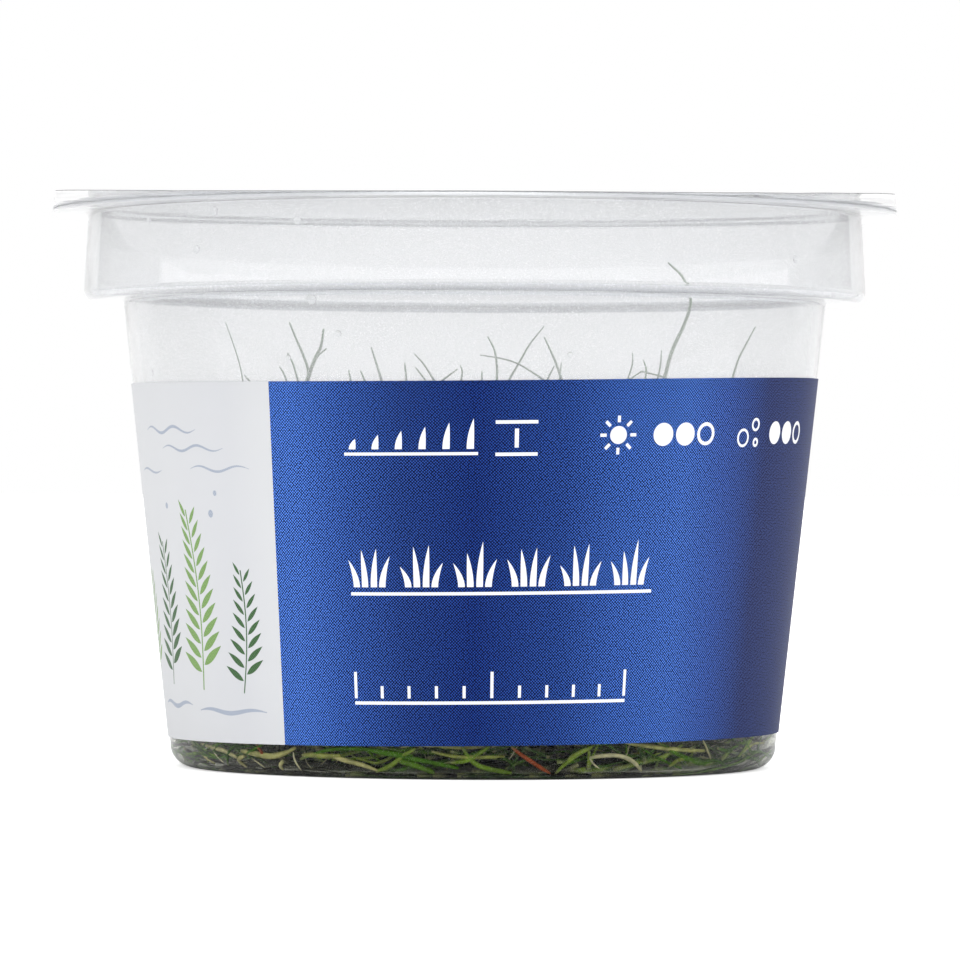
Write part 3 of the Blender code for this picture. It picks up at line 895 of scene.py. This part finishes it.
def fill(bm, material_index, outer, holes=()):
    """Fills one outline, round its holes, with faces of one print colour."""
    edges = []
    for loop in (outer, *holes):
        ring = [bm.verts.new((s * MM, h * MM, 0)) for s, h in loop]
        edges += [bm.edges.new(pair) for pair in zip(ring, ring[1:] + ring[:1])]
    made = bmesh.ops.triangle_fill(bm, edges=edges, use_beauty=True, normal=(0, 0, 1))["geom"]
    for item in made:
        if isinstance(item, bmesh.types.BMFace):
            item.material_index = material_index


def cut_apart(bm, start, end, spacing, normal):
    """Cuts the flat print across at even steps, so that it bends smoothly."""
    count = int((end - start) / spacing)
    for cut in range(1, count):
        place = normal * (start + (end - start) * cut / count)
        geometry = bm.verts[:] + bm.edges[:] + bm.faces[:]
        bmesh.ops.bisect_plane(bm, geom=geometry, dist=PRINT_WELD, plane_co=place, plane_no=normal)


def flat_label():
    """The label's print laid out flat: faces for each colour, cut into narrow columns."""
    bm = bmesh.new()
    end = LABEL_HALF_WRAP * LABEL_ARC_RADIUS / MM
    high = LABEL_HEIGHT / MM
    marks = printed_marks()
    washes = painted_motifs()
    blue_edge = [(PANEL_BREAK_LOW, 0.0), (end, 0.0), (end, high), (PANEL_BREAK_HIGH, high)]
    white_edge = [(-end, 0.0), (PANEL_BREAK_LOW, 0.0), (PANEL_BREAK_HIGH, high), (-end, high)]
    fill(bm, PANEL_BLUE, blue_edge, [outer for outer, _ in marks])
    fill(bm, PANEL_WHITE, white_edge, sum(washes, []))
    for outer, inner in marks:
        fill(bm, MARK_WHITE, outer, [inner] if inner else [])
        if inner:
            fill(bm, PANEL_BLUE, inner)
    for index, outlines in enumerate(washes, FIRST_WASH):
        for outline in outlines:
            fill(bm, index, outline)
    bmesh.ops.remove_doubles(bm, verts=bm.verts, dist=PRINT_WELD)
    cut_apart(bm, -end * MM, end * MM, LABEL_COLUMN, Vector((1, 0, 0)))
    cut_apart(bm, 0.0, LABEL_HEIGHT, LABEL_ROW, Vector((0, 1, 0)))
    return bm


def wrap_label(bm):
    """Gives each corner its place on the flat print as a UV, and bends the sheet round the cup."""
    length = 2 * LABEL_HALF_WRAP * LABEL_ARC_RADIUS
    uv = bm.loops.layers.uv.new("print")
    for face in bm.faces:
        for loop in face.loops:
            s, h, _ = loop.vert.co
            loop[uv].uv = (s / length + 0.5, h / LABEL_HEIGHT)
    for vert in bm.verts:
        s, h, _ = vert.co
        angle = s / LABEL_ARC_RADIUS
        z = LABEL_LOW + h + LABEL_SIDE_RISE * math.sin(angle) ** 2 * h / LABEL_HEIGHT
        z += LABEL_TILT * body_radius(z) * math.sin(angle)
        radius = body_radius(z) + LABEL_LIFT
        vert.co = (radius * math.sin(angle), -radius * math.cos(angle), z)
    bm.normal_update()
    outward = sum(face.normal.dot(face.calc_center_median()) for face in bm.faces)
    if outward < 0:
        bmesh.ops.reverse_faces(bm, faces=bm.faces)
    return bm


def halftone_group():
    """A halftone: light dots in a loose grid over the dark ink, on the label's own UV laid out in mm."""
    group, given, result = new_group(
        "halftone",
        (("Pitch", "Float", 0.3), ("Dot size", "Float", 0.3), ("Looseness", "Float", 0.6)),
        (("Dots", "Float"), ("Along", "Float")),
    )
    uv = put(group, "ShaderNodeUVMap", uv_map="print").outputs["UV"]
    size = (2 * LABEL_HALF_WRAP * LABEL_ARC_RADIUS / MM, LABEL_HEIGHT / MM, 1.0)
    screen_angle = (0, 0, math.radians(45))
    spread = put(group, "ShaderNodeMapping", {"Vector": uv, "Scale": size, "Rotation": screen_angle})
    cells = put(
        group,
        "ShaderNodeTexVoronoi",
        {
            "Vector": spread.outputs["Vector"],
            "Scale": calculated(group, "DIVIDE", 1.0, given.outputs["Pitch"]),
            "Randomness": given.outputs["Looseness"],
        },
        voronoi_dimensions="2D",
    )
    dots = remapped(group, cells.outputs["Distance"], (given.outputs["Dot size"], 0.0), (0.0, 1.0))
    along = put(group, "ShaderNodeSeparateXYZ", {"Vector": uv})
    group.links.new(dots, result.inputs["Dots"])
    group.links.new(along.outputs["X"], result.inputs["Along"])
    return group


HALFTONE = halftone_group()


def ink(name, colours_and_painted_sheen, dark_dots, light_dots, specular=0.2):
    """Printed ink in colours that run along the label, with finer dots darker and lighter than them. Where
    the colours change along the label, the change is painted sheen and shade.
    """
    material, tree, shader = new_material(
        name, Roughness=0.45, Metallic=0.0, IOR=1.5, Specular_IOR_Level=specular
    )
    screen = use_group(tree, HALFTONE, Pitch=DOT_PITCH, Dot_size=DOT_SIZE, Looseness=DOT_LOOSENESS)
    lightness = remapped(tree, screen.outputs["Dots"], (0.0, 1.0), (dark_dots, light_dots))
    stops = [(0.5 + math.radians(bearing) / (2 * LABEL_HALF_WRAP), colour) for bearing, colour in colours_and_painted_sheen]
    run = colours_along(tree, screen.outputs["Along"], stops)
    shade = put(tree, "ShaderNodeHueSaturation", {"Color": run, "Value": lightness})
    tree.links.new(shade.outputs["Color"], shader.inputs["Base Color"])
    return material


def label_mesh():
    """Colours by bearing, as painted sheen and shade. The blue is painted deepest in front, lighter on both
    sides of the front, where side lights would catch the ink, and greyer at the right end. The white is
    painted a shade darker round -45 degrees.
    """
    # Painted sheen: lighter blue about 35 degrees to each side of the front, darker in front and at the right
    # end
    blue = (
        (-31, (0.0315, 0.083, 0.288)),
        (-21, (0.0175, 0.0485, 0.193)),
        (-12, (0.0095, 0.0275, 0.124)),
        (0, (0.0048, 0.0170, 0.0965)),
        (15, (0.0110, 0.0330, 0.144)),
        (25, (0.0212, 0.0590, 0.222)),
        (37, (0.0292, 0.0750, 0.258)),
        (46, (0.0245, 0.0535, 0.193)),
        (57, (0.0175, 0.0262, 0.0845)),
    )
    # Painted shade: the white panel is a shade darker round -45 degrees than at -37 and -62, for how the
    # light falls on it
    white = ((-62, (0.580, 0.588, 0.605)), (-45, (0.560, 0.568, 0.590)), (-37, (0.584, 0.592, 0.606)))
    inks = [
        ink("blue_ink_with_painted_sheen", blue, 0.0, 5.0, 0.05),
        ink("panel_white_with_painted_shade", white, 0.99, 1.01),
        ink("mark_white", ((0, (0.84, 0.855, 0.88)),), 0.97, 1.03),
        ink("dark_green_wash", ((0, (0.055, 0.13, 0.050)),), 0.6, 1.6),
        ink("light_green_wash", ((0, (0.20, 0.34, 0.11)),), 0.7, 1.4),
        ink("grey_blue_wash", ((0, (0.36, 0.40, 0.48)),), 0.85, 1.15),
    ]
    bm = wrap_label(flat_label())
    bmesh.ops.solidify(bm, geom=bm.faces[:], thickness=LABEL_THICKNESS)
    return mesh_from("label_sheet", bm, inks, SHARP_ANGLE)


add_piece("label_sheet", label_mesh(), "label_print", "label")

# Lid film
# A thin clear film, heat-sealed flat on the flange. It is die-cut round, with four corners drawn out
# by straight sides, which stand free, curl a little and have creases at the front right.
FILM_LOW = RIM_HEIGHT + 0.02 * MM
FILM_RADIUS = 47.1 * MM
FILM_CORNER = 43.8 * MM
FILM_CORNER_CUT = 0.6 * MM
FILM_THICKNESS = 0.05 * MM
FILM_GRID = 180
CORNER_CURL = 0.09 * MM
HIGHEST_CREASE = CORNER_CURL * 1.3
CORNER_RIPPLE = 3.9 * MM
# Creases at the front right: the middle (x, y), half width, half length and height, in mm
FILM_CREASES = (
    (29.2, -36, 1.8, 6.5, 0.115),
    (36.6, -38, 1.5, 5, 0.11),
    (41.6, -37, 1.2, 5, 0.12),
    (40.2, -31, 1.4, 6, -0.07),
    (33.4, -38, 1.1, 7, -0.08),
)


def film_reach(angle):
    """Distance of the film's edge: four corners round a circle, joined by straight sides that touch it."""
    corner_reach = FILM_CORNER * math.sqrt(2)
    touch = math.acos(FILM_RADIUS / corner_reach)
    from_corner = abs(math.remainder(angle - math.pi / 4, math.pi / 2))
    if from_corner > touch:
        return FILM_RADIUS
    return min(FILM_RADIUS / math.cos(touch - from_corner), corner_reach - FILM_CORNER_CUT)


def film_height(x, y):
    """Height of the film over its flat seal: the free corners lift a little, and creases ripple it."""
    free = max(0.0, math.hypot(x, y) - FLANGE_RADIUS) / (FILM_CORNER * math.sqrt(2) - FLANGE_RADIUS)
    height = CORNER_CURL * free**1.5 * (0.7 + 0.3 * math.sin((x - y) / CORNER_RIPPLE))
    for middle_x, middle_y, half_width, half_length, crest in FILM_CREASES:
        away = ((x / MM - middle_x) / half_width) ** 2 + ((y / MM - middle_y) / half_length) ** 2
        height += crest * MM * math.exp(-away)
    return min(max(height, 0.0), HIGHEST_CREASE)


def film_mesh():
    """A grid drawn out to the film's edge, then given its thickness."""
    bm = bmesh.new()
    bmesh.ops.create_grid(bm, x_segments=FILM_GRID, y_segments=FILM_GRID, size=1.0)
    for vert in bm.verts:
        u, v, _ = vert.co
        angle = math.atan2(v, u)
        reach = max(abs(u), abs(v)) * film_reach(angle)
        x, y = reach * math.cos(angle), reach * math.sin(angle)
        vert.co = (x, y, FILM_LOW + FILM_THICKNESS + film_height(x, y))
    bm.normal_update()
    bmesh.ops.solidify(bm, geom=bm.faces[:], thickness=FILM_THICKNESS)
    plastic = clear_plastic("clear_film", (0.95, 0.96, 0.98), 0.97, 0.05, ior=1.45, wave=0.15)
    return mesh_from("lid_film_sheet", bm, [plastic], SHARP_ANGLE)


add_piece("lid_film_sheet", film_mesh(), "lid_film", "lid_film")

# Condensation
# A few small drops of water that have settled on the inside of the wall and the collar. Each is a
# flat dome, and is seen as a thin bright and dark ring.
DROP_GAP = 0.02 * MM
DROP_RISE = 0.3
DROP_BACK = 0.1
# Each drop: bearing in degrees, height and diameter, in mm
DROPS = (
    (-26.6, 51, 1.15),
    (-26, 59.2, 0.9),
    (-40.4, 60.4, 1),
    (-43.6, 56.4, 0.9),
    (-22.2, 47.4, 0.7),
    (-68, 43.6, 0.8),
    (-55, 59.8, 0.8),
    (15.4, 45.2, 0.6),
    (53, 55.8, 0.8),
    (-31.4, 44.9, 0.6),
)


def wall_inside(z):
    """Inner radius of the cup at a height, up to the flange."""
    if z < LEDGE_HEIGHT + WALL:
        return float(inside_radius(z))
    share = (z - LEDGE_HEIGHT) / (RIM_HEIGHT - LEDGE_HEIGHT)
    return COLLAR_LOW_RADIUS + (COLLAR_HIGH_RADIUS - COLLAR_LOW_RADIUS) * share - WALL


def drops_mesh():
    """Flat domes that rise from the wall and keep to its slope."""
    bm = bmesh.new()
    for bearing, height, diameter in DROPS:
        angle = math.radians(bearing)
        z = height * MM
        radius = diameter * MM / 2
        dome = bmesh.ops.create_uvsphere(bm, u_segments=24, v_segments=12, radius=radius)["verts"]
        for vert in dome:
            vert.co.z *= DROP_RISE * (1.0 if vert.co.z > 0 else DROP_BACK)
        reach = wall_inside(z) - DROP_GAP - radius * DROP_RISE * DROP_BACK
        outward = Vector((math.sin(angle), -math.cos(angle), 0))
        slope = (wall_inside(z + radius) - wall_inside(z - radius)) / (2 * radius)
        turn = (Vector((0, 0, slope)) - outward).to_track_quat("Z", "Y").to_matrix().to_4x4()
        place = Matrix.Translation(outward * reach + Vector((0, 0, z))) @ turn
        bmesh.ops.transform(bm, matrix=place, verts=dome)
    water = clear_plastic("water", (0.99, 0.995, 1.0), 1.0, 0.0, ior=1.33, wave=0.0)
    return mesh_from("condensation", bm, [water])


add_piece("condensation", drops_mesh(), "cup_plastic")

# Set
# A plain pale floor in a white studio: a lit backdrop, a soft light in front, at each side and
# overhead, a darker gap at each side of the backdrop, and a long lens level with the label.
CAMERA_DISTANCE = 659.6 * MM
CAMERA_HEIGHT = 30.86 * MM
FOCAL_PIXELS = 5900.0
IMAGE_PIXELS = 960.0
HORIZON_PIXEL = 490.0
AXIS_PIXEL = 474.0
CAMERA_ROLL = 0.0041
SENSOR = 36.0
FLOOR_HALF_SIZE = 30.0
GAP_LIGHT = 0.5
BACKDROP_LIGHT = 1.0
FRONT_LIGHT = 1.62
SIDE_LIGHT = 1.95
TOP_LIGHT = 1.45
BACKDROP_EDGE = 146
SIDE_EDGES = (44, 104)
TOP_EDGE = 50
SOFT_EDGE = 0.02
# Ends of a panel that are past the range of its value
OPEN_START, OPEN_END = -1.0, 4.0
FLOOR_GLOW = 0.55


def add_camera():
    data = bpy.data.cameras.new("camera")
    data.sensor_width = SENSOR
    data.lens = SENSOR * FOCAL_PIXELS / IMAGE_PIXELS
    data.clip_end = 100.0
    camera = bpy.data.objects.new("camera", data)
    bpy.context.scene.collection.objects.link(camera)
    up = math.atan((HORIZON_PIXEL - IMAGE_PIXELS / 2) / FOCAL_PIXELS)
    across = math.atan((IMAGE_PIXELS / 2 - AXIS_PIXEL) / FOCAL_PIXELS)
    turn = Matrix.Rotation(-across, 4, "Z") @ Matrix.Rotation(math.pi / 2 + up, 4, "X")
    turn = turn @ Matrix.Rotation(CAMERA_ROLL, 4, "Z")
    camera.matrix_world = Matrix.Translation((0, -CAMERA_DISTANCE, CAMERA_HEIGHT)) @ turn
    bpy.context.scene.camera = camera


def add_floor():
    """A pale floor. It glows for the camera alone, so that it looks white but is darker in reflections."""
    bm = bmesh.new()
    bmesh.ops.create_grid(bm, x_segments=1, y_segments=1, size=FLOOR_HALF_SIZE)
    material, tree, shader = new_material(
        "pale_floor", Roughness=0.8, Metallic=0.0, IOR=1.3, Emission_Strength=FLOOR_GLOW
    )
    place = put(tree, "ShaderNodeTexCoord")
    tone = put(tree, "ShaderNodeTexNoise", {"Vector": place.outputs["Object"], "Scale": 6.0, "Detail": 2.0})
    paint = colours_along(tree, tone.outputs["Fac"], ((0.0, (0.77,) * 3), (1.0, (0.79,) * 3)))
    ray = put(tree, "ShaderNodeLightPath")
    tree.links.new(paint, shader.inputs["Base Color"])
    tree.links.new(ray.outputs["Is Camera Ray"], shader.inputs["Emission Color"])
    floor = bpy.data.objects.new("floor", mesh_from("floor", bm, [material]))
    bpy.context.scene.collection.objects.link(floor)


def add_world():
    """White to the camera. As light, it has the studio's panels, by azimuth from the camera's side."""
    world = bpy.data.worlds.new("studio")
    bpy.context.scene.world = world
    world.use_nodes = True
    tree = world.node_tree
    tree.nodes.clear()
    place = put(tree, "ShaderNodeTexCoord")
    split = put(tree, "ShaderNodeSeparateXYZ", {"Vector": place.outputs["Generated"]})
    across = calculated(tree, "ABSOLUTE", split.outputs["X"])
    toward = calculated(tree, "MULTIPLY", split.outputs["Y"], -1.0)
    azimuth = calculated(tree, "ARCTAN2", across, toward)

    def panel(value, start, end, light):
        """A panel's light, where the value is between its two edges, each a little soft."""
        rise = remapped(tree, value, (start - SOFT_EDGE, start + SOFT_EDGE), (0.0, light))
        fall = remapped(tree, value, (end - SOFT_EDGE, end + SOFT_EDGE), (1.0, 0.0))
        return calculated(tree, "MULTIPLY", rise, fall)

    side_start, side_end, backdrop_start = (math.radians(edge) for edge in (*SIDE_EDGES, BACKDROP_EDGE))
    front = panel(azimuth, OPEN_START, side_start, FRONT_LIGHT - GAP_LIGHT)
    side = panel(azimuth, side_start, side_end, SIDE_LIGHT - GAP_LIGHT)
    back = panel(azimuth, backdrop_start, OPEN_END, BACKDROP_LIGHT - GAP_LIGHT)
    walls = calculated(tree, "ADD", calculated(tree, "ADD", front, side), back)
    walls = calculated(tree, "ADD", walls, GAP_LIGHT)
    top = panel(split.outputs["Z"], math.sin(math.radians(TOP_EDGE)), OPEN_END, TOP_LIGHT)
    light = calculated(tree, "MAXIMUM", walls, top)
    lit = put(tree, "ShaderNodeBackground", {"Color": (1, 1, 1, 1), "Strength": light})
    seen = put(tree, "ShaderNodeBackground", {"Color": (1, 1, 1, 1), "Strength": 1.0})
    ray = put(tree, "ShaderNodeLightPath")
    shares = {0: ray.outputs["Is Camera Ray"], 1: lit.outputs["Background"], 2: seen.outputs["Background"]}
    mix = put(tree, "ShaderNodeMixShader", shares)
    put(tree, "ShaderNodeOutputWorld", {"Surface": mix.outputs["Shader"]})


add_camera()
add_floor()
add_world()
bpy.context.scene.view_settings.view_transform = "Standard"
